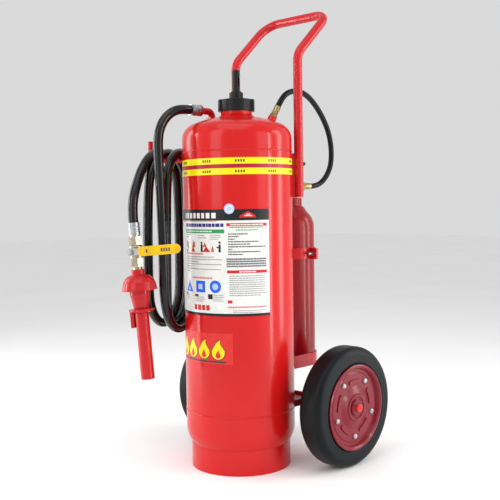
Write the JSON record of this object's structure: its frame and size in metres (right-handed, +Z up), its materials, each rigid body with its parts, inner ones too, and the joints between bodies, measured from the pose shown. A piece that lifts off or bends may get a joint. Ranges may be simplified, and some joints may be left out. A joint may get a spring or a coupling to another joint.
{
  "type": "wheeled fire extinguisher",
  "caption": "Wheeled foam fire extinguisher: red pressure vessel on a two-wheel cart with push handle, rear gas cylinder, coiled hose and foam nozzle.",
  "frame": {"origin": "on the floor, under the middle of the cart, halfway between the front of the vessel and the back of the tyres", "axes": "+Z up; -Y to the front, where the label is; +X to the right-hand wheel"},
  "size_m": [0.576, 0.7192, 1.266],
  "materials": {
    "shell_red": "bright gloss red stove enamel",
    "trim_red": "gloss red paint",
    "gas_red": "deep red gloss paint",
    "dark_red": "maroon gloss paint",
    "cap_red": "bright red moulded end cap",
    "black_plastic": "satin black moulded plastic",
    "seal_rubber": "black sealing rubber",
    "white_plastic": "white moulded plastic",
    "steel": "plain steel",
    "zinc_steel": "bright zinc plate",
    "nickel_brass": "nickel-plated brass",
    "yellow_vinyl": "yellow dipped vinyl",
    "brass": "machined brass",
    "black_metal": "black painted casting",
    "hose_rubber": "glossy black rubber hose",
    "gas_hose_rubber": "satin black rubber hose",
    "tyre_rubber": "smooth solid rubber",
    "bush_plastic": "dark nylon bush"
  },
  "bodies": {
    "frame": {"axle_bracket": "dark_red", "axle_caps": "cap_red", "axle_shaft": "steel", "axle_tube": "dark_red", "barrel": "shell_red", "bottom_dish": "shell_red", "clamp_bolts": "zinc_steel", "clamp_saddle": "trim_red", "clamp_strap": "trim_red", "dome_bosses": "shell_red", "foam_tube": "trim_red", "foot_ring": "shell_red", "gas_cylinder": "gas_red", "gas_diffuser_tube": "steel", "gas_hose": "gas_hose_rubber", "gas_hose_ferrule": "brass", "gas_inlet_fitting": "brass", "gas_outlet_nut": "brass", "gas_tray": "trim_red", "gas_valve_body": "brass", "hose_coil": "hose_rubber", "hose_ferrules": "zinc_steel", "hose_hook": "trim_red", "hose_nozzle_run": "hose_rubber", "hose_outlet_run": "hose_rubber", "neck_collar": "shell_red", "nozzle_cone": "trim_red", "nozzle_hood": "trim_red", "nozzle_ring": "trim_red", "outlet_elbow": "trim_red", "push_handle": "trim_red", "siphon_tube": "white_plastic", "top_dish": "shell_red", "valve_body": "nickel_brass", "valve_end": "nickel_brass", "valve_seats": "white_plastic"},
    "wheel_right": {"tyre_right": "tyre_rubber", "rim_outer_right": "dark_red", "rim_inner_right": "dark_red", "wheel_bush_right": "bush_plastic", "wheel_bolts_right": "zinc_steel"},
    "wheel_left": {"tyre_left": "tyre_rubber", "rim_outer_left": "dark_red", "rim_inner_left": "dark_red", "wheel_bush_left": "bush_plastic", "wheel_bolts_left": "zinc_steel"},
    "cap_carrier": {"cap_gasket": "seal_rubber"},
    "cap": {"filler_cap": "black_plastic", "relief_collar": "black_plastic", "relief_housing": "black_plastic", "relief_plug": "black_plastic"},
    "relief_disc": {"relief_poppet": "steel", "relief_spring": "steel"},
    "valve_handle": {"valve_ball": "steel", "valve_stem": "steel", "valve_lever": "steel", "lever_sleeve": "yellow_vinyl", "lever_nut": "zinc_steel"},
    "gas_wheel": {"gas_valve_spindle": "brass", "gas_handwheel": "black_metal"}
  },
  "joints": [
    {"name": "wheel_right_spin", "type": "hinge", "parent": "frame", "child": "wheel_right", "pos_m": [0.237, 0.07745, 0.1635], "axis": [1, 0, 0], "continuous": true},
    {"name": "wheel_left_spin", "type": "hinge", "parent": "frame", "child": "wheel_left", "pos_m": [-0.237, 0.07745, 0.1635], "axis": [1, 0, 0], "continuous": true},
    {"name": "cap_lift", "type": "slide", "parent": "frame", "child": "cap_carrier", "axis": [0, 0, 1], "range_m": [0, 0.012]},
    {"name": "cap_turn", "type": "hinge", "parent": "cap_carrier", "child": "cap", "pos_m": [0, -0.08955, 0.985], "axis": [0, 0, 1], "range_deg": [0, 1080]},
    {"name": "relief_slide", "type": "slide", "parent": "cap", "child": "relief_disc", "axis": [0, 0, 1], "range_m": [0, 0.003], "stiffness_N_per_m": 500, "springref_m": -0.01},
    {"name": "valve_lever_turn", "type": "hinge", "parent": "frame", "child": "valve_handle", "pos_m": [-0.11535, -0.35498, 0.59623], "axis": [0.4384, -0.8988, 0], "range_deg": [0, 90]},
    {"name": "gas_wheel_turn", "type": "hinge", "parent": "frame", "child": "gas_wheel", "pos_m": [0, 0.13745, 0.832], "axis": [0, 0, 1], "range_deg": [0, 720]}
  ],
  "couplings": [
    {"joint": "cap_lift", "follows": "cap_turn", "m_per_rad": 0.0006366}
  ]
}
